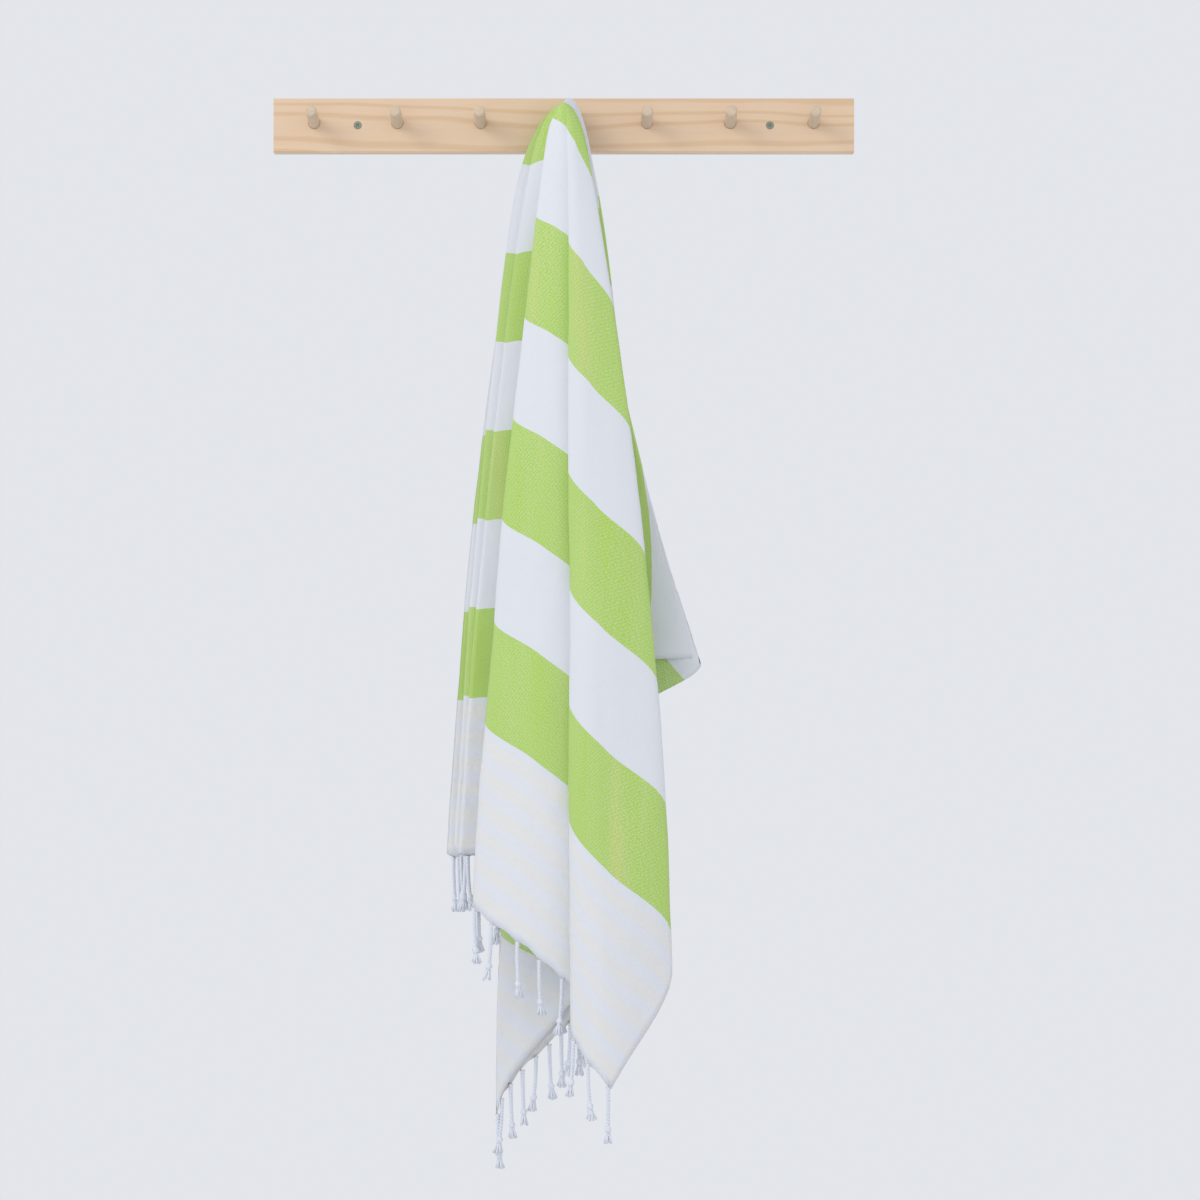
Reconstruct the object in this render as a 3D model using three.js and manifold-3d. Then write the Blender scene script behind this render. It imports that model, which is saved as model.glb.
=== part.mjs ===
// A flat-woven striped towel with knotted fringes, hanging from the middle peg of a wooden peg rail.
// Millimetres. +Z is up, -Y is the room side, and the wall is the plane y = 0. The origin is the
// middle of the rail's back face. The towel is one sheet, laid over the peg off its centre: the cloth
// fans out from the peg's end, and its left third is gathered along the peg, where its selvage crosses.
import * as THREE from "three";
import { mergeVertices } from "three/addons/utils/BufferGeometryUtils.js";
import Module from "manifold-3d";

const wasm = await Module();
wasm.setup();

// The rail and its screws.
const RAIL_LENGTH = 600;
const RAIL_HEIGHT = 56;
const RAIL_THICKNESS = 18;
const RAIL_CHAMFER = 1.5;
const SCREW_X = 213;
const SCREW_HEAD_RADIUS = 4;
const SCREW_HEAD_DEPTH = 3;
const SCREW_SHANK_RADIUS = 1.9;
const SCREW_LENGTH = 17.7;
const SCREW_SIDES = 12;
const RECESS_WIDTH = 1.1;
const RECESS_LENGTH = 4.4;
const RECESS_DEPTH = 1.6;

// The pegs: dowels set in blind holes, leaning up towards the room.
const PEG_COUNT = 7;
const PEG_PITCH = 86;
const PEG_RADIUS = 6;
const PEG_REACH = 46;
const PEG_TENON = 12;
const PEG_CHAMFER = 1.5;
const PEG_ROOT_Z = 2.5;
const PEG_LEAN = THREE.MathUtils.degToRad(9);
const PEG_SIDES = 12;
const GAP = 0.3;

// The towel's cut, measured from the point that lies on the peg's end.
const FRONT_LENGTH = 785;
const BACK_LENGTH = 908;
const LEFT_WIDTH = 335;
const RIGHT_WIDTH = 678;
const CLOTH_THICKNESS = 1.2;
const CLOTH_REST_GAP = 0.9;
const RIDGE_FRONT_Y = -61;
const RIDGE_BACK_Y = -25;
const HANG_DEPTH = 1000;
const RAYS_PER_FOLD = 3;
const RINGS = 18;
const RING_POWER = 2;

// How a line of cloth leaves the peg: a longer way out bends more gently and takes up more cloth.
const LEAVE_BASE = 8;
const LEAVE_SHARE = 0.8;
const SLACK_BASE = 6;
const SLACK_SHARE = 0.25;

// The fringes.
const TASSEL_PITCH = 32;
const TASSEL_LENGTH = 56;
const STRIP_HEIGHT = 2.4;
const STRIP_THICKNESS = 0.8;
const ROOT_SHARE = 0.8;
const STRIP_GAP = 0.9;
const STRIP_PAST = 0.4;
const TASSEL_PROFILE = [
  { down: -0.6, radius: 0.8 },
  { down: 4, radius: 2.1 },
  { down: 38, radius: 2.1 },
  { down: 42, radius: 4.1 },
  { down: 46, radius: 2.6 },
  { down: TASSEL_LENGTH, radius: 3.9 },
];

// One row for each fold line, round the towel's edge from the left selvage over the front to the left
// selvage at the back. start and over are where the line leaves the ridge, across and along the cloth:
// on the right the cloth is bunched on the peg's end. across and along are where the line meets the
// cloth's edge. leaveX and leaveY are where it stands in plan once it has left the peg, hangX and hangY
// where it stands at HANG_DEPTH, and bow is how early it gets there: over 1 early, under 1 late.
const FOLDS = [
  { start: -335, over: 0, across: -335, along: 785, leaveX: -18, leaveY: -26, hangX: -36, hangY: -8, bow: 1.6 },
  { start: -255, over: 0, across: -255, along: 785, leaveX: -34, leaveY: -29, hangX: -126, hangY: -13, bow: 1.85 },
  { start: -175, over: 0, across: -175, along: 785, leaveX: -22, leaveY: -33, hangX: -36, hangY: -22, bow: 1.6 },
  { start: -95, over: 0, across: -95, along: 785, leaveX: -42, leaveY: -38, hangX: -119, hangY: -33, bow: 1.6 },
  { start: -45, over: 0, across: -45, along: 785, leaveX: -30, leaveY: -45, hangX: -70, hangY: -45, bow: 2 },
  { start: 0, over: 0, across: 0, along: 785, leaveX: -27, leaveY: -52, hangX: -112, hangY: -54, bow: 1.6 },
  { start: 0, over: 12, across: 180, along: 785, leaveX: -19, leaveY: -61, hangX: 44, hangY: -63, bow: 1.6 },
  { start: 0, over: 34, across: 290, along: 785, leaveX: -17, leaveY: -68, hangX: -36, hangY: -84, bow: 1.5 },
  { start: 0, over: 52, across: 382, along: 785, leaveX: -12, leaveY: -75, hangX: -98, hangY: -104, bow: 1.5 },
  { start: 0, over: 50, across: 470, along: 785, leaveX: -3, leaveY: -77, hangX: -36, hangY: -122, bow: 1.5 },
  { start: 0, over: 46, across: 560, along: 785, leaveX: 4, leaveY: -77, hangX: 22, hangY: -130, bow: 1.5 },
  { start: 0, over: 44, across: 600, along: 785, leaveX: 6, leaveY: -81, hangX: 8, hangY: -144, bow: 1.5 },
  { start: 0, over: 36, across: 678, along: 785, leaveX: 11, leaveY: -80, hangX: 48, hangY: -150, bow: 1.5 },
  { start: 0, over: 8, across: 618, along: 640, leaveX: 16, leaveY: -74, hangX: 112, hangY: -117, bow: 1.9 },
  { start: 0, over: 4, across: 615, along: 520, leaveX: 12, leaveY: -72, hangX: 20, hangY: -114, bow: 1.6 },
  { start: 0, over: 0, across: 612, along: 400, leaveX: 21, leaveY: -70, hangX: 90, hangY: -107, bow: 1.6 },
  { start: 0, over: -20, across: 625, along: 190, leaveX: 12, leaveY: -67, hangX: -54, hangY: -102, bow: 1.5 },
  { start: 0, over: -40, across: 600, along: 10, leaveX: 22, leaveY: -62, hangX: 88, hangY: -84, bow: 1.5 },
  { start: 0, over: -65, across: 580, along: -130, leaveX: 16, leaveY: -58, hangX: -14, hangY: -76, bow: 0.6 },
  { start: 0, over: -86, across: 555, along: -250, leaveX: 21, leaveY: -54, hangX: 322, hangY: -67, bow: 0.6 },
  { start: 0, over: -65, across: 570, along: -330, leaveX: 24, leaveY: -51, hangX: 140, hangY: -61, bow: 0.6 },
  { start: 0, over: -30, across: 572, along: -480, leaveX: 25, leaveY: -47, hangX: -58, hangY: -55.5, bow: 2 },
  { start: 0, over: -20, across: 566, along: -630, leaveX: 25, leaveY: -45, hangX: 84, hangY: -50.5, bow: 2 },
  { start: 0, over: -15, across: 558, along: -785, leaveX: 24, leaveY: -43, hangX: -5, hangY: -45.5, bow: 2 },
  { start: 0, over: -10, across: 550, along: -908, leaveX: 22, leaveY: -40, hangX: -68, hangY: -40.5, bow: 2 },
  { start: 0, over: -8, across: 330, along: -908, leaveX: 22, leaveY: -37, hangX: 6, hangY: -35.5, bow: 2 },
  { start: 0, over: -4, across: 165, along: -908, leaveX: 22, leaveY: -34, hangX: 38, hangY: -28, bow: 2 },
  { start: 0, over: 0, across: 0, along: -908, leaveX: 21, leaveY: -31, hangX: 72, hangY: -20, bow: 4 },
  { start: -45, over: 0, across: -45, along: -908, leaveX: 20, leaveY: -30, hangX: 30, hangY: -17.5, bow: 4 },
  { start: -95, over: 0, across: -95, along: -908, leaveX: 19, leaveY: -29, hangX: -14, hangY: -15, bow: 4 },
  { start: -175, over: 0, across: -175, along: -908, leaveX: 20, leaveY: -27.5, hangX: 70, hangY: -11.5, bow: 4 },
  { start: -255, over: 0, across: -255, along: -908, leaveX: 18, leaveY: -26, hangX: -14, hangY: -8, bow: 4 },
  { start: -335, over: 0, across: -335, along: -908, leaveX: 18, leaveY: -25, hangX: 70, hangY: -5, bow: 4 },
];

const wood = new THREE.MeshStandardMaterial({ color: 0xdcb98c, roughness: 0.6, metalness: 0 });
const dowelWood = new THREE.MeshStandardMaterial({ color: 0xd9bb93, roughness: 0.65, metalness: 0 });
const steel = new THREE.MeshStandardMaterial({ color: 0x9a9a90, roughness: 0.35, metalness: 1 });
const cotton = new THREE.MeshStandardMaterial({ color: 0xb7d56f, roughness: 0.95, metalness: 0 });
const cottonCord = new THREE.MeshStandardMaterial({ color: 0xeeeef4, roughness: 0.95, metalness: 0 });

// Solids from triangles and back.
function solidOf(geometry) {
  const bare = geometry.clone();
  bare.deleteAttribute("normal");
  bare.deleteAttribute("uv");
  const merged = mergeVertices(bare, 1e-4);
  return new wasm.Manifold(
    new wasm.Mesh({
      numProp: 3,
      vertProperties: new Float32Array(merged.attributes.position.array),
      triVerts: new Uint32Array(merged.index.array),
    }),
  );
}

function geometryOf(solid) {
  const mesh = solid.getMesh();
  const geometry = new THREE.BufferGeometry();
  geometry.setAttribute("position", new THREE.BufferAttribute(mesh.vertProperties, 3));
  geometry.setIndex(new THREE.BufferAttribute(mesh.triVerts, 1));
  geometry.computeVertexNormals();
  return geometry;
}

// A sharp fold can shed a sliver, which is left out.
function largestPiece(solid) {
  return solid.decompose().reduce((a, b) => (a.volume() > b.volume() ? a : b));
}

function meshOf(name, geometry, material) {
  const mesh = new THREE.Mesh(geometry, material);
  mesh.name = name;
  return mesh;
}

// Wood and screws.
function turned(profile, sides) {
  const points = profile.map((p) => new THREE.Vector2(p.radius, p.height));
  return new THREE.LatheGeometry(points, sides);
}

function pegProfile(radius, low, high, chamfer) {
  return [
    { radius: 0, height: low },
    { radius, height: low },
    { radius, height: high - chamfer },
    { radius: radius - chamfer, height: high },
    { radius: 0, height: high },
  ];
}

function placePeg(geometry, x) {
  geometry.rotateX(Math.PI - PEG_LEAN);
  geometry.translate(x, -RAIL_THICKNESS, PEG_ROOT_Z);
  return geometry;
}

function placeScrew(geometry, x) {
  geometry.rotateX(Math.PI);
  geometry.translate(x, -RAIL_THICKNESS, 0);
  return geometry;
}

function pegX(index) {
  return (index - (PEG_COUNT - 1) / 2) * PEG_PITCH;
}

function screwProfile(margin, top) {
  const head = SCREW_HEAD_RADIUS + margin;
  const shank = SCREW_SHANK_RADIUS + margin;
  const end = margin > 0 ? -RAIL_THICKNESS - 1 : -SCREW_LENGTH;
  return [
    { radius: 0, height: end },
    { radius: shank, height: end },
    { radius: shank, height: -SCREW_HEAD_DEPTH },
    { radius: head, height: -GAP },
    { radius: head, height: top },
    { radius: 0, height: top },
  ];
}

function makeRail() {
  const half = RAIL_HEIGHT / 2;
  const c = RAIL_CHAMFER;
  const outline = new THREE.Shape();
  outline.moveTo(0, -half);
  outline.lineTo(0, half);
  outline.lineTo(-RAIL_THICKNESS + c, half);
  outline.lineTo(-RAIL_THICKNESS, half - c);
  outline.lineTo(-RAIL_THICKNESS, -half + c);
  outline.lineTo(-RAIL_THICKNESS + c, -half);
  const board = new THREE.ExtrudeGeometry(outline, { depth: RAIL_LENGTH, bevelEnabled: false });
  const axes = new THREE.Matrix4().makeBasis(
    new THREE.Vector3(0, 1, 0),
    new THREE.Vector3(0, 0, 1),
    new THREE.Vector3(1, 0, 0),
  );
  board.applyMatrix4(axes);
  board.translate(-RAIL_LENGTH / 2, 0, 0);
  let rail = solidOf(board);
  for (let i = 0; i < PEG_COUNT; i += 1) {
    const socket = pegProfile(PEG_RADIUS + GAP, -PEG_TENON - GAP, PEG_RADIUS, 0);
    rail = rail.subtract(solidOf(placePeg(turned(socket, PEG_SIDES), pegX(i))));
  }
  for (const side of [-1, 1]) {
    rail = rail.subtract(solidOf(placeScrew(turned(screwProfile(GAP, 1), SCREW_SIDES), side * SCREW_X)));
  }
  return meshOf("rail", geometryOf(rail), wood);
}

function makePeg(index) {
  const profile = pegProfile(PEG_RADIUS, -PEG_TENON, PEG_REACH, PEG_CHAMFER);
  return meshOf(`peg_${index + 1}`, placePeg(turned(profile, PEG_SIDES), pegX(index)), dowelWood);
}

function makeScrew(name, x) {
  let screw = solidOf(turned(screwProfile(0, 0), SCREW_SIDES));
  for (const quarter of [0, 1]) {
    const slot = new THREE.BoxGeometry(RECESS_LENGTH, 2 * RECESS_DEPTH, RECESS_WIDTH);
    slot.rotateY((quarter * Math.PI) / 2 + Math.PI / 4);
    screw = screw.subtract(solidOf(slot));
  }
  return meshOf(name, placeScrew(geometryOf(screw), x), steel);
}

// The towel's shape. s is a place between two rows of FOLDS, and r is how far down its line of cloth.
function pegTopZ(y) {
  const along = -RAIL_THICKNESS - y;
  return PEG_ROOT_Z + along * Math.tan(PEG_LEAN) + PEG_RADIUS / Math.cos(PEG_LEAN);
}

function rowAt(s) {
  return Math.min(Math.max(Math.floor(s), 0), FOLDS.length - 2);
}

function straight(s, column) {
  const i = rowAt(s);
  const share = s - i;
  return FOLDS[i][column] * (1 - share) + FOLDS[i + 1][column] * share;
}

function rounded(s, column) {
  const last = FOLDS.length - 1;
  const i = rowAt(s);
  const u = s - i;
  const [a, b, c, d] = [i - 1, i, i + 1, i + 2].map((k) => FOLDS[Math.min(Math.max(k, 0), last)][column]);
  const cubic = -a + 3 * b - 3 * c + d;
  const square = 2 * a - 5 * b + 4 * c - d;
  return 0.5 * (2 * b + (c - a) * u + square * u * u + cubic * u * u * u);
}

function clothLength(s) {
  const across = straight(s, "across") - straight(s, "start");
  const along = straight(s, "along") - straight(s, "over");
  return Math.hypot(across, along);
}

function clothPoint(s, r) {
  const gathered = -straight(s, "start") / LEFT_WIDTH;
  const ridgeY = RIDGE_FRONT_Y + (RIDGE_BACK_Y - RIDGE_FRONT_Y) * gathered;
  const ridgeZ = pegTopZ(ridgeY) + CLOTH_REST_GAP + CLOTH_THICKNESS / 2;
  const leaveX = rounded(s, "leaveX");
  const leaveY = rounded(s, "leaveY");
  const wayOut = Math.hypot(leaveX, leaveY - ridgeY);
  const slack = SLACK_BASE + SLACK_SHARE * wayOut;
  const left = 1 - Math.exp(-r / (LEAVE_BASE + LEAVE_SHARE * wayOut));
  const depth = r - slack * (1 - Math.exp(-r / slack));
  const down = Math.min(depth / HANG_DEPTH, 1);
  const bow = straight(s, "bow");
  const spread = bow < 1 ? down ** (1 / bow) : 1 - (1 - down) ** bow;
  return new THREE.Vector3(
    leaveX * left + (rounded(s, "hangX") - leaveX) * spread,
    ridgeY + (leaveY - ridgeY) * left + (rounded(s, "hangY") - leaveY) * spread,
    ridgeZ - depth,
  );
}

// A closed sheet from a grid of middle points: each point is moved half the thickness to either side.
// A point that lies on an earlier one is that same point.
function thickSheet(columns, thickness) {
  const points = [];
  const known = new Map();
  const idOf = (p) => {
    const key = p.toArray().map((value) => value.toFixed(3)).join(",");
    if (!known.has(key)) {
      known.set(key, points.length);
      points.push(p);
    }
    return known.get(key);
  };
  const ids = columns.map((column) => column.map(idOf));
  const faces = [];
  const addFace = (a, b, c) => {
    if (a !== b && b !== c && c !== a) faces.push([a, b, c]);
  };
  for (let i = 0; i + 1 < ids.length; i += 1) {
    for (let j = 0; j + 1 < ids[i].length; j += 1) {
      addFace(ids[i][j], ids[i][j + 1], ids[i + 1][j + 1]);
      addFace(ids[i][j], ids[i + 1][j + 1], ids[i + 1][j]);
    }
  }
  const normals = points.map(() => new THREE.Vector3());
  const edges = new Map();
  for (const face of faces) {
    const [a, b, c] = face.map((id) => points[id]);
    const normal = b.clone().sub(a).cross(c.clone().sub(a)).normalize();
    for (const id of face) normals[id].add(normal);
    face.forEach((id, k) => edges.set(`${id},${face[(k + 1) % 3]}`, [id, face[(k + 1) % 3]]));
  }
  const position = [];
  for (const side of [1, -1]) {
    points.forEach((p, id) => {
      const normal = normals[id].clone().normalize();
      position.push(...p.clone().addScaledVector(normal, (side * thickness) / 2).toArray());
    });
  }
  const under = points.length;
  const triangles = [];
  for (const [a, b, c] of faces) triangles.push(a, b, c, a + under, c + under, b + under);
  for (const [a, b] of edges.values()) {
    if (!edges.has(`${b},${a}`)) triangles.push(a, a + under, b, b, a + under, b + under);
  }
  const geometry = new THREE.BufferGeometry();
  geometry.setAttribute("position", new THREE.Float32BufferAttribute(position, 3));
  geometry.setIndex(triangles);
  return geometry;
}

function makeTowel() {
  const columns = [];
  const rays = (FOLDS.length - 1) * RAYS_PER_FOLD;
  for (let i = 0; i <= rays; i += 1) {
    const s = i / RAYS_PER_FOLD;
    const column = [];
    for (let j = 0; j <= RINGS; j += 1) {
      column.push(clothPoint(s, clothLength(s) * (j / RINGS) ** RING_POWER));
    }
    columns.push(column);
  }
  return meshOf("towel", thickSheet(columns, CLOTH_THICKNESS), cotton);
}

// A fringe: a narrow strip just under the hem, with the tassels' roots fused into it.
function makeTassel(top) {
  const tassel = TASSEL_PROFILE.map((p) => new THREE.Vector2(p.radius, -p.down)).reverse();
  const low = new THREE.Vector2(0, tassel[0].y);
  const high = new THREE.Vector2(0, tassel[tassel.length - 1].y);
  const geometry = new THREE.LatheGeometry([low, ...tassel, high], 4, Math.PI / 4);
  geometry.rotateX(Math.PI / 2);
  geometry.translate(top.x, top.y, top.z);
  return geometry;
}

// How far past the hem the strip starts: a sloping hem needs more, to leave the same gap across it and
// to clear the cloth's thickness where the hem turns.
function gapUnder(s) {
  const hem = clothPoint(s, clothLength(s));
  const gaps = [-1, 1].map((side) => {
    const next = s + side / RAYS_PER_FOLD;
    const run = clothPoint(next, clothLength(next)).sub(hem);
    const level = Math.hypot(run.x, run.y);
    return (STRIP_GAP * run.length() + (STRIP_THICKNESS / 2) * Math.abs(run.z)) / level;
  });
  return Math.max(...gaps);
}

function stripRow(s, down) {
  return clothPoint(s, clothLength(s) + gapUnder(s) + down);
}

// Each segment runs a little past its ends, so that neighbours are fused where the hem turns.
function makeStrip(firstFold, lastFold) {
  const steps = (lastFold - firstFold) * RAYS_PER_FOLD;
  let strip = null;
  let before = null;
  for (let i = 0; i <= steps; i += 1) {
    const s = firstFold + i / RAYS_PER_FOLD;
    const column = [stripRow(s, 0), stripRow(s, STRIP_HEIGHT)];
    if (before) {
      const past = column[0].clone().sub(before[0]).setLength(STRIP_PAST);
      const ends = [before.map((p) => p.clone().sub(past)), column.map((p) => p.clone().add(past))];
      const segment = solidOf(thickSheet(ends, STRIP_THICKNESS));
      strip = strip ? strip.add(segment) : segment;
    }
    before = column;
  }
  return strip;
}

function makeFringe(name, firstFold, lastFold) {
  let fringe = makeStrip(firstFold, lastFold);
  const hemWidth = Math.abs(FOLDS[lastFold].across - FOLDS[firstFold].across);
  const count = Math.round(hemWidth / TASSEL_PITCH);
  for (let k = 0; k <= count; k += 1) {
    const share = (k + 0.12) / (count + 0.24);
    const across = FOLDS[firstFold].across + (FOLDS[lastFold].across - FOLDS[firstFold].across) * share;
    const s = foldAt(across, firstFold, lastFold);
    const root = stripPoint(s, STRIP_HEIGHT * ROOT_SHARE);
    fringe = fringe.add(solidOf(makeTassel(root)));
  }
  return meshOf(name, geometryOf(largestPiece(fringe)), cottonCord);
}

// A point of the strip, which runs straight from one ray of the cloth to the next.
function stripPoint(s, down) {
  const before = Math.floor(s * RAYS_PER_FOLD) / RAYS_PER_FOLD;
  const after = before + 1 / RAYS_PER_FOLD;
  return stripRow(before, down).lerp(stripRow(after, down), (s - before) * RAYS_PER_FOLD);
}

function foldAt(across, firstFold, lastFold) {
  for (let i = firstFold; i < lastFold; i += 1) {
    const [a, b] = [FOLDS[i].across, FOLDS[i + 1].across];
    const share = (across - a) / (b - a);
    if (share >= 0 && share <= 1) return i + share;
  }
  return lastFold;
}

const FRONT_RIGHT_CORNER = FOLDS.findIndex((f) => f.across === RIGHT_WIDTH && f.along === FRONT_LENGTH);
const BACK_RIGHT_CORNER = FOLDS.findIndex((f) => f.along === -BACK_LENGTH);

const towelOnPegRail = new THREE.Group();
towelOnPegRail.add(makeRail());
for (let i = 0; i < PEG_COUNT; i += 1) towelOnPegRail.add(makePeg(i));
towelOnPegRail.add(makeScrew("screw_left", -SCREW_X), makeScrew("screw_right", SCREW_X));
towelOnPegRail.add(makeTowel());
towelOnPegRail.add(makeFringe("front_fringe", 0, FRONT_RIGHT_CORNER));
towelOnPegRail.add(makeFringe("back_fringe", BACK_RIGHT_CORNER, FOLDS.length - 1));

export default towelOnPegRail;
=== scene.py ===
"""A flat-woven striped towel with knotted fringes, on the middle peg of a wooden peg rail."""

import math

import bmesh
import bpy
from bpy.props import FloatProperty, FloatVectorProperty, IntProperty, PointerProperty
from mathutils import Matrix, Vector, noise


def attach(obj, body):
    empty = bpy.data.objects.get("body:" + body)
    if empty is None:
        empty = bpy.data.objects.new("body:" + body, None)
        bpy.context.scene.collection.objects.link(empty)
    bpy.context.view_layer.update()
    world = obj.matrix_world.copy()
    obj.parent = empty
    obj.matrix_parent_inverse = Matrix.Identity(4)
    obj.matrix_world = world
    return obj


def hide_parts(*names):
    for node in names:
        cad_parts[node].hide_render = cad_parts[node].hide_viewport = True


bl_info = {
    "name": "Towel on a peg rail",
    "version": (1, 0, 0),
    "blender": (4, 5, 0),
    "location": "3D View > Sidebar > Towel",
    "description": "A striped towel with knotted fringes, hung on a wooden peg rail",
    "category": "Add Mesh",
}

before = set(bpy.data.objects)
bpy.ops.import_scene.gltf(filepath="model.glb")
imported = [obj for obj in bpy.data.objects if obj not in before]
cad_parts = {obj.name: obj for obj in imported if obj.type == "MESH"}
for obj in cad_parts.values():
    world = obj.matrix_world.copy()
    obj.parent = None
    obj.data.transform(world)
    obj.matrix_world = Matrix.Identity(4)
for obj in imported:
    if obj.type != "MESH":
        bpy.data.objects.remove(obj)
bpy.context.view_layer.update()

MM = 0.001
BODY = "root"

# The hang of the cloth, as in the solids: one row for each fold line, in millimetres. start and over
# are where the line leaves the peg, across and along where it meets the cloth's edge, leave_x and
# leave_y where it stands in plan below the peg, hang_x and hang_y where it stands at HANG_DEPTH, and
# bow how early it gets there: over 1 early, under 1 late.
COLUMNS = ("start", "over", "across", "along", "leave_x", "leave_y", "hang_x", "hang_y", "bow")
FOLDS = [
    (-335, 0, -335, 785, -18, -26, -36, -8, 1.6),
    (-255, 0, -255, 785, -34, -29, -126, -13, 1.85),
    (-175, 0, -175, 785, -22, -33, -36, -22, 1.6),
    (-95, 0, -95, 785, -42, -38, -119, -33, 1.6),
    (-45, 0, -45, 785, -30, -45, -70, -45, 2),
    (0, 0, 0, 785, -27, -52, -112, -54, 1.6),
    (0, 12, 180, 785, -19, -61, 44, -63, 1.6),
    (0, 34, 290, 785, -17, -68, -36, -84, 1.5),
    (0, 52, 382, 785, -12, -75, -98, -104, 1.5),
    (0, 50, 470, 785, -3, -77, -36, -122, 1.5),
    (0, 46, 560, 785, 4, -77, 22, -130, 1.5),
    (0, 44, 600, 785, 6, -81, 8, -144, 1.5),
    (0, 36, 678, 785, 11, -80, 48, -150, 1.5),
    (0, 8, 618, 640, 16, -74, 112, -117, 1.9),
    (0, 4, 615, 520, 12, -72, 20, -114, 1.6),
    (0, 0, 612, 400, 21, -70, 90, -107, 1.6),
    (0, -20, 625, 190, 12, -67, -54, -102, 1.5),
    (0, -40, 600, 10, 22, -62, 88, -84, 1.5),
    (0, -65, 580, -130, 16, -58, -14, -76, 0.6),
    (0, -86, 555, -250, 21, -54, 322, -67, 0.6),
    (0, -65, 570, -330, 24, -51, 140, -61, 0.6),
    (0, -30, 572, -480, 25, -47, -58, -55.5, 2),
    (0, -20, 566, -630, 25, -45, 84, -50.5, 2),
    (0, -15, 558, -785, 24, -43, -5, -45.5, 2),
    (0, -10, 550, -908, 22, -40, -68, -40.5, 2),
    (0, -8, 330, -908, 22, -37, 6, -35.5, 2),
    (0, -4, 165, -908, 22, -34, 38, -28, 2),
    (0, 0, 0, -908, 21, -31, 72, -20, 4),
    (-45, 0, -45, -908, 20, -30, 30, -17.5, 4),
    (-95, 0, -95, -908, 19, -29, -14, -15, 4),
    (-175, 0, -175, -908, 20, -27.5, 70, -11.5, 4),
    (-255, 0, -255, -908, 18, -26, -14, -8, 4),
    (-335, 0, -335, -908, 18, -25, 70, -5, 4),
]
ACROSS = COLUMNS.index("across")
LAST_FOLD = len(FOLDS) - 1
FRONT_CORNER = 12
BACK_CORNER = 24
HANG_DEPTH = 1000
LEFT_WIDTH = 335
RIDGE_FRONT_Y = -61
RIDGE_BACK_Y = -25
LEAVE_BASE = 8
LEAVE_SHARE = 0.8
SLACK_BASE = 6
SLACK_SHARE = 0.25
CLOTH_LIFT = 1.5

# The back of the cloth swells up a little where it leaves the peg, and shows over the front.
SWELL = 10
SWELL_REACH = 18
SWELL_FROM = 18.5
PEG_ROOT_Z = 2.5
PEG_RADIUS = 6
PEG_LEAN = math.radians(9)
RAIL_THICKNESS = 18
WALL_CLEAR = -0.002
NEAR_WALL = -0.012
TASSEL_PITCH = 32
TASSEL_INSET = 0.12

# The weave, in metres on the flat cloth.
DIAMOND_ACROSS = 0.0026
DIAMOND_ALONG = 0.0024
THREAD_ACROSS = 0.0013
THREAD_ALONG = 0.0016

# Colours that only shade or tint the ones in the settings.
WHITE_SHADE = (0.66, 0.69, 0.78)
REVERSE_TINT = (0.50, 0.68, 0.40)
CORD_SHADE = (0.66, 0.69, 0.77)
DOWEL_LINE = (0.44, 0.29, 0.17)
DOWEL_FLAKE = (0.82, 0.70, 0.54)
STEEL_SHADE = (0.20, 0.24, 0.16)
FLOOR_SHADE = (0.72, 0.74, 0.78)


# The settings that a user would change.


class TowelSettings(bpy.types.PropertyGroup):
    front_length: FloatProperty(
        name="Front length",
        description="From the peg to the front hem, along the cloth",
        default=0.785,
        unit="LENGTH",
    )
    back_length: FloatProperty(
        name="Back length",
        description="From the peg to the back hem, along the cloth",
        default=0.908,
        unit="LENGTH",
    )
    width: FloatProperty(
        name="Width",
        description="The flat cloth, from selvage to selvage",
        default=1.013,
        unit="LENGTH",
    )
    thickness: FloatProperty(
        name="Thickness",
        description="The cloth's thickness",
        default=0.0012,
        unit="LENGTH",
    )
    stripe: FloatProperty(
        name="Stripe",
        description="Length of one green or white band",
        default=0.091,
        unit="LENGTH",
    )
    stripe_start: FloatProperty(
        name="Stripe start",
        description="Where the green band over the peg starts",
        default=-0.016,
        unit="LENGTH",
    )
    front_border: FloatProperty(
        name="Front border",
        description="Where the front border's pale bars start",
        default=0.621,
        unit="LENGTH",
    )
    back_border: FloatProperty(
        name="Back border",
        description="Where the back border's pale bars start",
        default=-0.744,
        unit="LENGTH",
    )
    bar: FloatProperty(
        name="Bar",
        description="From one beige bar of the border to the next",
        default=0.0265,
        unit="LENGTH",
    )
    scallop: FloatProperty(
        name="Scallop",
        description="How far the hem draws up between two tassels",
        default=0.005,
        unit="LENGTH",
    )
    green: FloatVectorProperty(
        name="Green weft",
        description="The green thread",
        subtype="COLOR",
        default=(0.42, 0.64, 0.06),
    )
    # Painted light: a yellower green that stands in for warm light on the folds, laid in vertical streaks
    # over the green thread.
    painted_light_green: FloatVectorProperty(
        name="Warm green",
        description="The green thread where it is yellower",
        subtype="COLOR",
        default=(0.52, 0.62, 0.05),
    )
    white: FloatVectorProperty(
        name="White",
        description="The white thread",
        subtype="COLOR",
        default=(0.77, 0.785, 0.82),
    )
    beige: FloatVectorProperty(
        name="Beige",
        description="The border's pale beige bars",
        subtype="COLOR",
        default=(0.80, 0.785, 0.735),
    )


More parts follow.
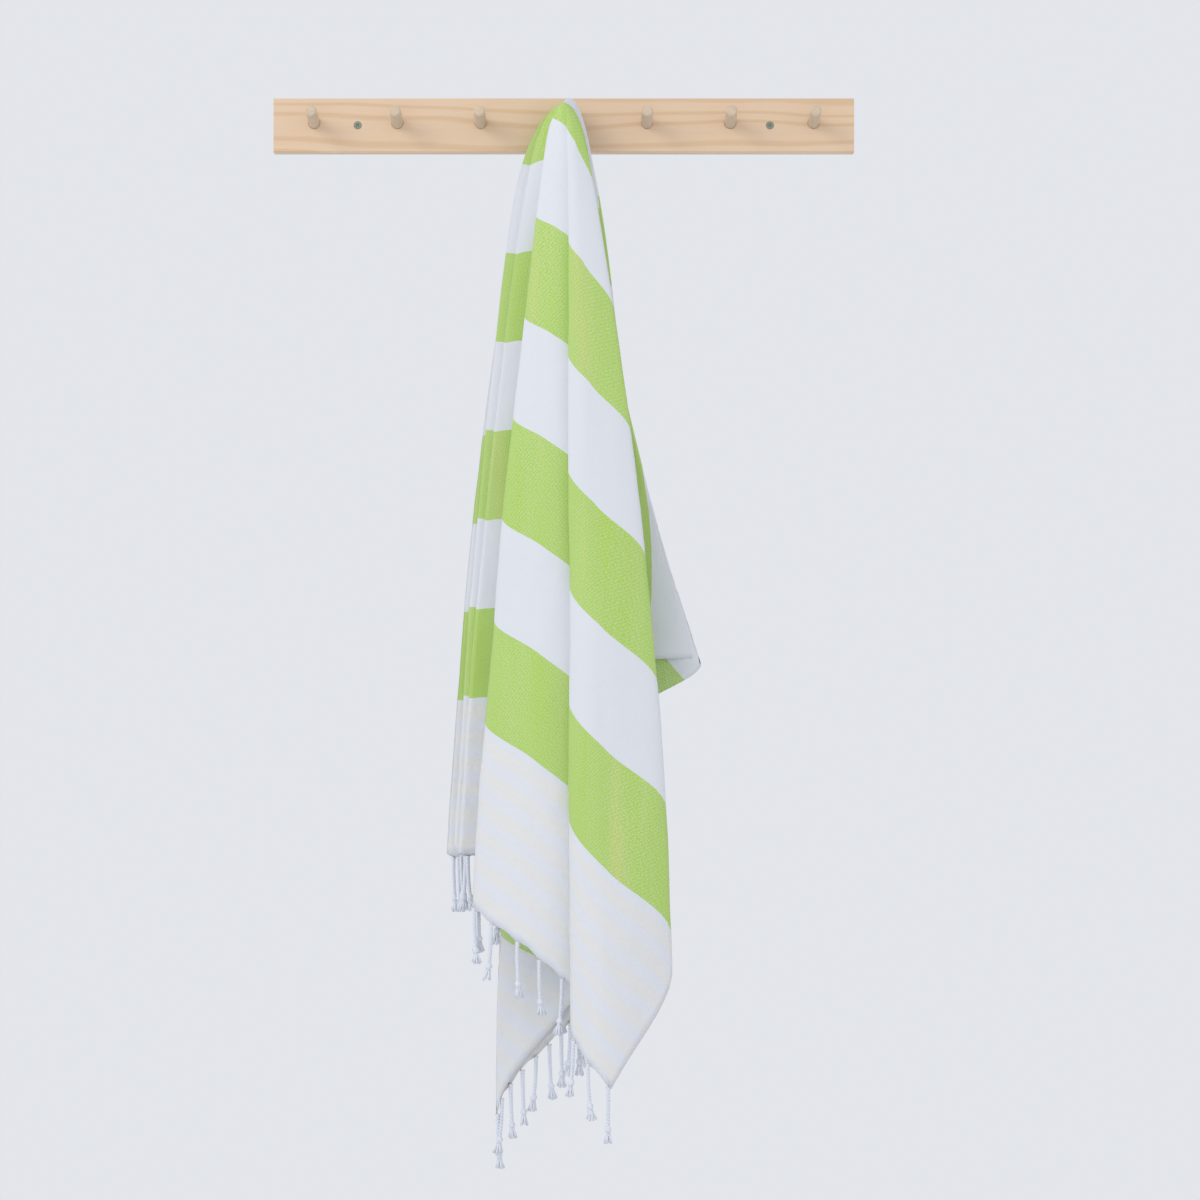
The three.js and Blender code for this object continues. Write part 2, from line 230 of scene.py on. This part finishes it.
class FringeSettings(bpy.types.PropertyGroup):
    cord_length: FloatProperty(
        name="Cord length",
        description="From the hem to the knot",
        default=0.040,
        unit="LENGTH",
    )
    ply_radius: FloatProperty(
        name="Ply radius",
        description="Radius of each of the two twisted plies",
        default=0.00125,
        unit="LENGTH",
    )
    turns: IntProperty(
        name="Turns",
        description="Turns of the twist in one cord",
        default=6,
    )
    knot_radius: FloatProperty(
        name="Knot radius",
        description="Radius of the knot",
        default=0.0038,
        unit="LENGTH",
    )
    cord_colour: FloatVectorProperty(
        name="Cord",
        description="The twisted cord",
        subtype="COLOR",
        default=(0.80, 0.82, 0.88),
    )


class WoodSettings(bpy.types.PropertyGroup):
    pine: FloatVectorProperty(
        name="Pine",
        description="The rail's pale early wood",
        subtype="COLOR",
        default=(0.80, 0.60, 0.42),
    )
    pine_grain: FloatVectorProperty(
        name="Pine grain",
        description="The rail's darker grain lines",
        subtype="COLOR",
        default=(0.62, 0.39, 0.20),
    )
    dowel: FloatVectorProperty(
        name="Dowel",
        description="The pegs",
        subtype="COLOR",
        default=(0.78, 0.64, 0.48),
    )
    steel: FloatVectorProperty(
        name="Steel",
        description="The screws",
        subtype="COLOR",
        default=(0.36, 0.37, 0.31),
    )


class StageSettings(bpy.types.PropertyGroup):
    floor_height: FloatProperty(
        name="Floor height",
        description="Height of the pale floor under the rail's middle",
        default=-1.62,
        unit="LENGTH",
    )
    backdrop: FloatVectorProperty(
        name="Backdrop",
        description="The pale surroundings",
        subtype="COLOR",
        default=(0.80, 0.82, 0.86),
    )
    key_power: FloatProperty(
        name="Key light",
        description="Power of the large soft light at the upper left",
        default=42,
        unit="POWER",
    )


# Shader building.


class Wire:
    """A socket in a shader, so that sums can be written as sums."""

    def __init__(self, shader, socket):
        self.shader = shader
        self.socket = socket

    def maths(self, operation, *values):
        return self.shader.add("ShaderNodeMath", {"operation": operation}, values)

    def __add__(self, other):
        return self.maths("ADD", self, other)

    def __radd__(self, other):
        return self.maths("ADD", other, self)

    def __sub__(self, other):
        return self.maths("SUBTRACT", self, other)

    def __rsub__(self, other):
        return self.maths("SUBTRACT", other, self)

    def __mul__(self, other):
        return self.maths("MULTIPLY", self, other)

    def __rmul__(self, other):
        return self.maths("MULTIPLY", other, self)

    def __truediv__(self, other):
        return self.maths("DIVIDE", self, other)

    def __gt__(self, other):
        return self.maths("GREATER_THAN", self, other)

    def __lt__(self, other):
        return self.maths("LESS_THAN", self, other)


class Shader:
    """One material's node tree, with a Principled shader at its end."""

    def __init__(self, name):
        self.material = bpy.data.materials.new(name)
        self.material.use_nodes = True
        self.tree = self.material.node_tree
        self.skin = self.tree.nodes["Principled BSDF"]

    def add(self, kind, settings=None, values=(), output=0):
        """A node of this kind: its settings first, then its sockets by place or by name."""
        node = self.tree.nodes.new(kind)
        for name, value in (settings or {}).items():
            if name == "stops":
                self.set_stops(node.color_ramp, value)
            else:
                setattr(node, name, value)
        named = values.items() if isinstance(values, dict) else enumerate(values)
        for key, value in named:
            self.feed(node.inputs[key], value)
        return Wire(self, node.outputs[output])

    def set_stops(self, ramp, stops):
        while len(ramp.elements) < len(stops):
            ramp.elements.new(0.5)
        for element, (place, colour) in zip(ramp.elements, stops):
            element.position = place
            element.color = (*colour, 1)

    def feed(self, socket, value):
        if isinstance(value, Wire):
            self.tree.links.new(value.socket, socket)
        elif socket.type == "RGBA" and len(value) == 3:
            socket.default_value = (*value, 1)
        else:
            socket.default_value = value

    def place(self):
        return self.add("ShaderNodeTexCoord", output="Object")

    def parts(self, vector):
        node = self.tree.nodes.new("ShaderNodeSeparateXYZ")
        self.tree.links.new(vector.socket, node.inputs[0])
        return [Wire(self, output) for output in node.outputs]

    def join(self, x, y, z):
        return self.add("ShaderNodeCombineXYZ", values=(x, y, z))

    def stretch(self, vector, scale, offset=(0, 0, 0)):
        return self.add("ShaderNodeMapping", values={"Vector": vector, "Scale": scale, "Location": offset})

    def noise(self, vector, scale, detail=2.0, roughness=0.5):
        values = {"Vector": vector, "Scale": scale, "Detail": detail, "Roughness": roughness}
        return self.add("ShaderNodeTexNoise", values=values, output="Fac")

    def sine(self, wire):
        return self.add("ShaderNodeMath", {"operation": "SINE"}, (wire,))

    def floor(self, wire):
        return self.add("ShaderNodeMath", {"operation": "FLOOR"}, (wire,))

    def size_of(self, wire):
        return self.add("ShaderNodeMath", {"operation": "ABSOLUTE"}, (wire,))

    def limits(self, wire, low, high):
        """0 below low, 1 above high, and a smooth step between them."""
        settings = {"interpolation_type": "SMOOTHSTEP"}
        return self.add("ShaderNodeMapRange", settings, {"Value": wire, "From Min": low, "From Max": high})

    def mix(self, share, first, second, blend="MIX"):
        node = self.tree.nodes.new("ShaderNodeMix")
        node.data_type = "RGBA"
        node.blend_type = blend
        self.feed(node.inputs[0], share)
        self.feed(node.inputs[6], first)
        self.feed(node.inputs[7], second)
        return Wire(self, node.outputs[2])

    def bump(self, height, strength, distance):
        values = {"Height": height, "Strength": strength, "Distance": distance}
        return self.add("ShaderNodeBump", values=values)

    def finish(self, colour, roughness, normal=None, fixed=None):
        self.feed(self.skin.inputs["Base Color"], colour)
        self.feed(self.skin.inputs["Roughness"], roughness)
        if normal:
            self.feed(self.skin.inputs["Normal"], normal)
        for name, value in (fixed or {}).items():
            self.skin.inputs[name].default_value = value
        return self.material


def cloth_finish(name, towel, reverse):
    """The towel's weave on its flat pattern, whose UV map is in metres across and along the cloth."""
    shader = Shader(name)
    flat = shader.add("ShaderNodeUVMap", {"uv_map": "pattern"})
    across, along, _ = shader.parts(flat)

    band = (along - towel.stripe_start) / (2 * towel.stripe)
    within = band - shader.floor(band)
    even = 1 - (within > 0.5)
    middle = (along < towel.front_border) * (along > towel.back_border)
    green = even * middle

    bar = along / towel.bar
    bar_place = shader.size_of(bar - shader.floor(bar) - 0.5)
    wander = shader.noise(shader.stretch(flat, (9, 60, 1)), 1.0, 2.0)
    bars = shader.limits(bar_place + (wander - 0.5) * 0.16, 0.20, 0.30)
    border = 1 - middle
    mottle = shader.noise(flat, 55.0, 3.0, 0.6)
    beige = bars * border * (0.45 + 0.55 * mottle)

    zigzag = shader.sine(across * (math.pi / DIAMOND_ACROSS))
    crossing = shader.sine(along * (math.pi / DIAMOND_ALONG) + zigzag * 1.2)
    diamond = shader.size_of(zigzag) + shader.size_of(crossing)
    fleck = shader.noise(shader.stretch(flat, (1150, 700, 1)), 1.0, 1.0)
    # Painted light: vertical streaks, fixed in the object and not in the weave, where the green turns
    # yellower and more white fleck shows. They stand in for warm light on the folds.
    painted_light_streak = shader.noise(shader.stretch(shader.place(), (40, 40, 1.5)), 1.0, 3.0)
    warp_shows = shader.limits(fleck * 0.62 + diamond * 0.07 + painted_light_streak * 0.12, 0.34, 0.62)
    painted_light_share = shader.limits(painted_light_streak, 0.52, 0.80)
    weft = shader.mix(painted_light_share, towel.green, towel.painted_light_green)
    flecked = shader.mix(warp_shows * (0.60 if reverse else 0.44), weft, towel.white)
    if reverse:
        flecked = shader.mix(0.12, flecked, REVERSE_TINT)

    plain = shader.mix(beige, towel.white, towel.beige)
    plain = shader.mix((fleck - 0.5) * 0.16 + 0.05, plain, WHITE_SHADE)
    colour = shader.mix(green, plain, flecked)

    warp_threads = shader.sine(across * (2 * math.pi / THREAD_ACROSS))
    thread_lines = warp_threads * shader.sine(along * (2 * math.pi / THREAD_ALONG))
    crumple = shader.noise(shader.stretch(flat, (26, 48, 1)), 1.0, 3.0, 0.55)
    pucker = shader.noise(shader.stretch(flat, (60, 110, 1)), 1.0, 2.0, 0.5)
    height = thread_lines * 0.00010 + fleck * 0.00022 + crumple * 0.0011 + pucker * border * 0.0016
    fixed = {"Sheen Weight": 0.12, "Specular IOR Level": 0.25}
    return shader.finish(colour, 0.92, shader.bump(height, 0.75, 1.0), fixed)


def cord_finish(fringe):
    shader = Shader("fringe_cord")
    place = shader.place()
    fluff = shader.noise(place, 2600.0, 2.0, 0.6)
    shade = shader.noise(place, 240.0, 2.0)
    colour = shader.mix(shade * 0.35, fringe.cord_colour, CORD_SHADE)
    return shader.finish(colour, 0.95, shader.bump(fluff, 0.5, 0.0005), {"Sheen Weight": 0.15})


def pine_finish(wood):
    """Pine with its grain along the rail: wide arcs, fine lines, and a few darker streaks."""
    shader = Shader("rail_pine")
    place = shader.place()
    bend = shader.noise(shader.stretch(place, (2.6, 9, 9)), 1.0, 2.0)
    x, y, z = shader.parts(place)
    ring = (z * 1.0 + y * 0.7 + (bend - 0.5) * 0.052) * 430
    rings = shader.sine(ring + shader.sine(ring * 0.37) * 1.6) * 0.5 + 0.5
    late = shader.limits(rings, 0.55, 1.0)
    fine = shader.noise(shader.stretch(place, (6, 240, 420)), 1.0, 3.0, 0.6)
    broad = shader.noise(shader.stretch(place, (1.6, 20, 34)), 1.0, 2.0)
    pores = shader.limits(shader.noise(shader.stretch(place, (34, 700, 900)), 1.0, 1.0), 0.60, 0.78)
    grain = late * 0.34 + fine * 0.16 + broad * 0.20 + pores * 0.12
    colour = shader.mix(grain, wood.pine, wood.pine_grain)
    rough = 0.50 + 0.14 * fine
    return shader.finish(colour, rough, shader.bump(late * 0.5 + fine, 0.22, 0.0004), {"Coat Weight": 0.06})


def dowel_finish(wood):
    """Bare dowel, with its grain along the peg, which leans up as it comes into the room."""
    shader = Shader("peg_dowel")
    values = {"Vector": shader.place(), "Rotation": (-PEG_LEAN, 0, 0)}
    place = shader.add("ShaderNodeMapping", values=values)
    lines = shader.noise(shader.stretch(place, (420, 26, 420)), 1.0, 3.0, 0.6)
    blotch = shader.noise(shader.stretch(place, (60, 18, 60)), 1.0, 2.0)
    flakes = shader.limits(shader.noise(shader.stretch(place, (900, 160, 900)), 1.0, 1.0), 0.56, 0.74)
    colour = shader.mix(lines * 0.55 + blotch * 0.25, wood.dowel, DOWEL_LINE)
    colour = shader.mix(flakes * 0.30, colour, DOWEL_FLAKE)
    return shader.finish(colour, 0.62, shader.bump(lines, 0.35, 0.0004))


def steel_finish(wood):
    shader = Shader("screw_steel")
    place = shader.place()
    brushed = shader.noise(place, 900.0, 3.0)
    tint = shader.noise(place, 260.0, 2.0)
    colour = shader.mix(tint * 0.6, wood.steel, STEEL_SHADE)
    return shader.finish(colour, 0.28 + 0.22 * brushed, shader.bump(brushed, 0.2, 0.0002), {"Metallic": 0.9})


# The hang of the cloth. s is a place between two rows of FOLDS, and r is how far down its line.


def straight(s, column):
    i = min(max(math.floor(s), 0), LAST_FOLD - 1)
    share = s - i
    k = COLUMNS.index(column)
    return FOLDS[i][k] * (1 - share) + FOLDS[i + 1][k] * share


def rounded(s, column):
    i = min(max(math.floor(s), 0), LAST_FOLD - 1)
    u = s - i
    k = COLUMNS.index(column)
    a, b, c, d = (FOLDS[min(max(row, 0), LAST_FOLD)][k] for row in (i - 1, i, i + 1, i + 2))
    cubic = -a + 3 * b - 3 * c + d
    square = 2 * a - 5 * b + 4 * c - d
    return 0.5 * (2 * b + (c - a) * u + square * u * u + cubic * u * u * u)


def peg_top(y):
    return PEG_ROOT_Z + (-RAIL_THICKNESS - y) * math.tan(PEG_LEAN) + PEG_RADIUS / math.cos(PEG_LEAN)


class Line:
    """One line of cloth, from the peg down to the cloth's edge."""

    def __init__(self, s):
        self.start = straight(s, "start")
        self.over = straight(s, "over")
        self.across = straight(s, "across")
        self.along = straight(s, "along")
        self.length = math.hypot(self.across - self.start, self.along - self.over)
        gathered = -self.start / LEFT_WIDTH
        self.ridge_y = RIDGE_FRONT_Y + (RIDGE_BACK_Y - RIDGE_FRONT_Y) * gathered
        self.ridge_z = peg_top(self.ridge_y) + CLOTH_LIFT
        self.leave_x = rounded(s, "leave_x")
        self.leave_y = rounded(s, "leave_y")
        self.hang_x = rounded(s, "hang_x")
        self.hang_y = rounded(s, "hang_y")
        self.bow = straight(s, "bow")
        way_out = math.hypot(self.leave_x, self.leave_y - self.ridge_y)
        self.slack = SLACK_BASE + SLACK_SHARE * way_out
        self.reach = LEAVE_BASE + LEAVE_SHARE * way_out
        self.swell = SWELL * min(max((s - SWELL_FROM) / 2, 0), 1)

    def point(self, r):
        left = 1 - math.exp(-r / self.reach)
        depth = r - self.slack * (1 - math.exp(-r / self.slack))
        down = min(depth / HANG_DEPTH, 1)
        spread = down ** (1 / self.bow) if self.bow < 1 else 1 - (1 - down) ** self.bow
        x = self.leave_x * left + (self.hang_x - self.leave_x) * spread
        y = self.ridge_y + (self.leave_y - self.ridge_y) * left + (self.hang_y - self.leave_y) * spread
        swell = self.swell * (r / SWELL_REACH) * math.exp(1 - r / SWELL_REACH)
        return Vector((x, y, self.ridge_z - depth + swell)) * MM

    def pattern(self, r):
        """Where that point lies on the flat cloth, in metres across and along."""
        share = r / self.length
        across = self.start + (self.across - self.start) * share
        along = self.over + (self.along - self.over) * share
        return across * MM, along * MM


def fold_at(across, first, last):
    """The place between two rows where the hem is this far across the cloth."""
    for i in range(first, last):
        a, b = FOLDS[i][ACROSS], FOLDS[i + 1][ACROSS]
        share = (across - a) / (b - a)
        if 0 <= share <= 1:
            return i + share
    return float(last)


def tassel_places(first, last):
    """The tassels' places across the cloth, from one end of a hem to the other."""
    start, end = FOLDS[first][ACROSS], FOLDS[last][ACROSS]
    count = round(abs(end - start) / TASSEL_PITCH)
    spaces = count + 2 * TASSEL_INSET
    return [start + (end - start) * (k + TASSEL_INSET) / spaces for k in range(count + 1)]


def hem_rise(s, places, depth):
    """How far the hem is drawn up here, in millimetres: nothing at a tassel, most between two."""
    across = straight(s, "across")
    nearest = min(abs(across - place) for place in places)
    return depth * math.sin(math.pi * min(nearest / TASSEL_PITCH, 0.5)) ** 0.7


# The pieces.


def piece_from(mesh_builder, name, materials):
    """A new object at the origin, riding on the rail."""
    mesh = bpy.data.meshes.new(name)
    mesh_builder.to_mesh(mesh)
    mesh_builder.free()
    for material in materials:
        mesh.materials.append(material)
    piece = bpy.data.objects.new(name, mesh)
    bpy.context.scene.collection.objects.link(piece)
    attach(piece, BODY)
    return piece


def shade_smooth(mesh_builder):
    for face in mesh_builder.faces:
        face.smooth = True


class TOWEL_OT_cloth(bpy.types.Operator):
    """Builds the towel's cloth in its folds, with the stripes and weave on its flat pattern"""

    bl_idname = "towel.cloth"
    bl_label = "Towel cloth"

    COLUMNS_PER_FOLD = 10
    RINGS = 120
    RING_POWER = 1.5
    HEM_SHARE = 0.03
    WAVE_HEIGHT = 0.0022
    CRINKLE_HEIGHT = 0.0008
    CALM_DEPTH = 0.5

    def execute(self, context):
        towel = context.scene.towel_settings
        builder = bmesh.new()
        steps = LAST_FOLD * self.COLUMNS_PER_FOLD
        bmesh.ops.create_grid(builder, x_segments=steps, y_segments=self.RINGS, size=1)
        pattern = builder.loops.layers.uv.new("pattern")
        front = tassel_places(0, FRONT_CORNER)
        back = tassel_places(BACK_CORNER, LAST_FOLD)
        lines = {}
        for i in range(steps + 1):
            s = i / self.COLUMNS_PER_FOLD
            rise = 0
            if s <= FRONT_CORNER:
                rise = hem_rise(s, front, towel.scallop / MM)
            elif s >= BACK_CORNER:
                rise = hem_rise(s, back, towel.scallop / MM)
            lines[i] = (Line(s), rise)

        places = {}
        for vert in builder.verts:
            i = round((vert.co.x + 1) / 2 * steps)
            share = (vert.co.y + 1) / 2
            line, rise = lines[i]
            near_hem = max(0, (share - (1 - self.HEM_SHARE)) / self.HEM_SHARE)
            r = line.length * share**self.RING_POWER - rise * near_hem
            places[vert] = (line.point(r), line.pattern(r))
        for face in builder.faces:
            for loop in face.loops:
                loop[pattern].uv = places[loop.vert][1]
        for vert, (point, _) in places.items():
            vert.co = point
        bmesh.ops.remove_doubles(builder, verts=builder.verts, dist=1e-5)
        builder.normal_update()
        self.ripple(builder)
        shade_smooth(builder)

        materials = [
            cloth_finish("towel_reverse", towel, True),
            cloth_finish("towel_face", towel, False),
        ]
        cloth = piece_from(builder, "towel_cloth", materials)
        body = cloth.modifiers.new("thickness", "SOLIDIFY")
        body.thickness = towel.thickness
        body.offset = 0
        body.material_offset = 1
        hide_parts("towel")
        return {"FINISHED"}

    def ripple(self, builder):
        """Small uneven waves, which fade out near the peg and stay clear of the wall."""
        moved = []
        for vert in builder.verts:
            down = max(0.0, min(1.0, -vert.co.z / self.CALM_DEPTH))
            wave = noise.noise(Vector((vert.co.x * 22, vert.co.y * 22, vert.co.z * 5)))
            fine = noise.noise(Vector((vert.co.x * 60, vert.co.y * 60, vert.co.z * 26)))
            height = wave * self.WAVE_HEIGHT + fine * self.CRINKLE_HEIGHT
            moved.append((vert, vert.normal * height * down))
        for vert, shift in moved:
            vert.co += shift
            vert.co.y = min(vert.co.y, WALL_CLEAR)


class TOWEL_OT_fringes(bpy.types.Operator):
    bl_idname = "towel.fringes"
    bl_label = "Fringes"

    PLY_SIDES = 6
    STEPS_PER_TURN = 7
    PLY_LEAN = math.radians(58)
    SWING_ACROSS = 0.0045
    SWING_OUT = 0.0030
    TASSEL_LENGTH = 0.055

    def execute(self, context):
        fringe = context.scene.fringe_settings
        cord = cord_finish(fringe)
        single = self.tassel(fringe)
        for name, node, first, last in (
            ("front_tassels", "front_fringe", 0, FRONT_CORNER),
            ("back_tassels", "back_fringe", BACK_CORNER, LAST_FOLD),
        ):
            builder = bmesh.new()
            for k, across in enumerate(tassel_places(first, last)):
                s = fold_at(across, first, last)
                line = Line(s)
                self.hang(builder, single, line.point(line.length - 0.5), k)
            shade_smooth(builder)
            piece = piece_from(builder, name, [cord])
            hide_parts(node)
        bpy.data.meshes.remove(single)

        return {"FINISHED"}

    def tassel(self, fringe):
        """One tassel hanging from the origin: a root, two twisted plies, a knot and a loose end."""
        builder = bmesh.new()
        for side in (0, math.pi):
            centre = Matrix.Rotation(side, 4, "Z") @ Matrix.Translation((fringe.ply_radius * 0.92, 0, 0))
            lean = Matrix.Rotation(self.PLY_LEAN, 4, "X")
            ring = bmesh.ops.create_circle(
                builder, segments=self.PLY_SIDES, radius=fringe.ply_radius, matrix=centre @ lean
            )
            edges = list({edge for vert in ring["verts"] for edge in vert.link_edges})
            bmesh.ops.spin(
                builder,
                geom=edges,
                cent=(0, 0, 0),
                axis=(0, 0, 1),
                dvec=(0, 0, -fringe.cord_length / (fringe.turns * self.STEPS_PER_TURN)),
                angle=math.tau * fringe.turns,
                steps=fringe.turns * self.STEPS_PER_TURN,
            )
        self.cone(builder, 0.0016, -0.003, 0.0028, 0.0013)
        self.knot(builder, fringe)
        self.brush(builder, fringe)
        bmesh.ops.recalc_face_normals(builder, faces=builder.faces)
        mesh = bpy.data.meshes.new("one_tassel")
        builder.to_mesh(mesh)
        builder.free()
        return mesh

    def cone(self, builder, high, low, wide, narrow):
        place = Matrix.Translation((0, 0, (high + low) / 2))
        bmesh.ops.create_cone(
            builder,
            cap_ends=True,
            segments=8,
            radius1=narrow,
            radius2=wide,
            depth=high - low,
            matrix=place,
        )

    def knot(self, builder, fringe):
        """A round knot with a deep turn across it."""
        place = Matrix.Translation((0, 0, -fringe.cord_length - 0.001))
        ball = bmesh.ops.create_icosphere(builder, subdivisions=2, radius=fringe.knot_radius, matrix=place)
        for vert in ball["verts"]:
            turn = math.atan2(vert.co.y, vert.co.x)
            level = (vert.co.z + fringe.cord_length + 0.001) / fringe.knot_radius
            groove = 1 - 0.24 * math.cos(4 * level + 2 * turn) ** 6
            vert.co.x *= groove
            vert.co.y *= groove

    def brush(self, builder, fringe):
        """The loose end under the knot, in strands that spread."""
        top = -fringe.cord_length - fringe.knot_radius
        for k in range(6):
            turn = Matrix.Rotation(math.tau * k / 6 + 0.4, 4, "Z")
            lean = Matrix.Rotation(math.radians(11 + 5 * (k % 3)), 4, "X")
            strand = turn @ Matrix.Translation((0, 0.0010, top)) @ lean @ Matrix.Translation((0, 0, -0.0055))
            bmesh.ops.create_cone(
                builder,
                cap_ends=True,
                segments=5,
                radius1=0.0011 + 0.0002 * (k % 2),
                radius2=0.0013,
                depth=0.0125 - 0.0012 * (k % 3),
                matrix=strand,
            )

    def hang(self, builder, single, place, number):
        """A copy of the tassel, turned, swung and bent a little its own way."""
        before = len(builder.verts)
        builder.from_mesh(single)
        builder.verts.ensure_lookup_table()
        verts = builder.verts[before:]
        turn = Matrix.Rotation(number * 2.4, 4, "Z")
        bend_x = self.SWING_ACROSS * math.sin(number * 4.1 + 0.7)
        bend_y = self.SWING_OUT * math.sin(number * 2.9 + 1.9)
        if place.y > NEAR_WALL:
            bend_y = -abs(bend_y)
            place.y -= self.SWING_OUT
        for vert in verts:
            vert.co = turn @ vert.co
            share = -vert.co.z / self.TASSEL_LENGTH
            vert.co.x += bend_x * share * share
            vert.co.y += bend_y * share * share
            vert.co += place


class TOWEL_OT_rail(bpy.types.Operator):
    """Gives the rail its pine, the pegs their dowel wood and the screws their steel"""

    bl_idname = "towel.rail"
    bl_label = "Rail, pegs and screws"

    def execute(self, context):
        wood = context.scene.wood_settings
        finishes = {
            "rail": pine_finish(wood),
            "peg": dowel_finish(wood),
            "screw": steel_finish(wood),
        }
        for name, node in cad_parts.items():
            finish = finishes.get(name.split("_")[0])
            if finish:
                node.data.materials.clear()
                node.data.materials.append(finish)
        return {"FINISHED"}


class TOWEL_OT_stage(bpy.types.Operator):
    """Adds the pale floor, the soft lights and the camera"""

    bl_idname = "towel.stage"
    bl_label = "Stage"

    def execute(self, context):
        stage = context.scene.stage_settings
        self.floor(stage)
        self.surroundings(context, stage)
        self.lights(stage)
        self.camera(context)
        return {"FINISHED"}

    def floor(self, stage):
        builder = bmesh.new()
        place = Matrix.Translation((0, 0, stage.floor_height))
        bmesh.ops.create_circle(builder, cap_ends=True, segments=96, radius=2.9, matrix=place)
        mesh = bpy.data.meshes.new("stage_floor")
        builder.to_mesh(mesh)
        builder.free()
        shader = Shader("floor_paint")
        speckle = shader.noise(shader.place(), 6.0, 2.0)
        colour = shader.mix(speckle * 0.2, stage.backdrop, FLOOR_SHADE)
        mesh.materials.append(shader.finish(colour, 0.9))
        floor = bpy.data.objects.new("stage_floor", mesh)
        bpy.context.scene.collection.objects.link(floor)

    def surroundings(self, context, stage):
        world = bpy.data.worlds.new("pale_room")
        context.scene.world = world
        world.use_nodes = True
        sky = world.node_tree.nodes["Background"]
        sky.inputs["Color"].default_value = (*stage.backdrop, 1)
        sky.inputs["Strength"].default_value = 0.96
        context.scene.view_settings.view_transform = "Standard"

    def lights(self, stage):
        for name, power, size, place, aim in (
            ("key", stage.key_power, 1.8, (-2.4, -2.6, 1.5), (0, 0, -0.4)),
            ("fill", stage.key_power * 0.22, 2.6, (2.8, -2.6, 0.3), (0, 0, -0.5)),
            ("back", stage.key_power * 0.20, 2.0, (0.6, 2.6, 1.2), (0, 0, -0.4)),
        ):
            data = bpy.data.lights.new(name, "AREA")
            data.energy = power
            data.size = size
            light = bpy.data.objects.new(name, data)
            light.location = place
            light.rotation_euler = (Vector(aim) - Vector(place)).to_track_quat("-Z", "Y").to_euler()
            bpy.context.scene.collection.objects.link(light)

    def camera(self, context):
        data = bpy.data.cameras.new("camera")
        data.sensor_width = 36
        data.lens = 115.6
        camera = bpy.data.objects.new("camera", data)
        camera.location = (0.0374, -4.0, -0.4905)
        camera.rotation_euler = (math.radians(90), 0, 0)
        context.scene.collection.objects.link(camera)
        context.scene.camera = camera


class TOWEL_PT_panel(bpy.types.Panel):
    """Lists the towel's pieces and their settings"""

    bl_idname = "TOWEL_PT_panel"
    bl_label = "Towel on a peg rail"
    bl_space_type = "VIEW_3D"
    bl_region_type = "UI"
    bl_category = "Towel"

    def draw(self, context):
        for operator in OPERATORS:
            self.layout.operator(operator.bl_idname)
        for name in SETTINGS:
            group = getattr(context.scene, name)
            for key in group.__annotations__:
                self.layout.prop(group, key)


OPERATORS = (TOWEL_OT_rail, TOWEL_OT_cloth, TOWEL_OT_fringes, TOWEL_OT_stage)
SETTINGS = {
    "towel_settings": TowelSettings,
    "fringe_settings": FringeSettings,
    "wood_settings": WoodSettings,
    "stage_settings": StageSettings,
}
CLASSES = (*SETTINGS.values(), *OPERATORS, TOWEL_PT_panel)


def register():
    for each in CLASSES:
        bpy.utils.register_class(each)
    for name, group in SETTINGS.items():
        setattr(bpy.types.Scene, name, PointerProperty(type=group))


def unregister():
    for name in SETTINGS:
        delattr(bpy.types.Scene, name)
    for each in reversed(CLASSES):
        bpy.utils.unregister_class(each)


def main():
    register()
    bpy.ops.towel.rail()
    bpy.ops.towel.cloth()
    bpy.ops.towel.fringes()
    bpy.ops.towel.stage()


if __name__ == "__main__":
    main()
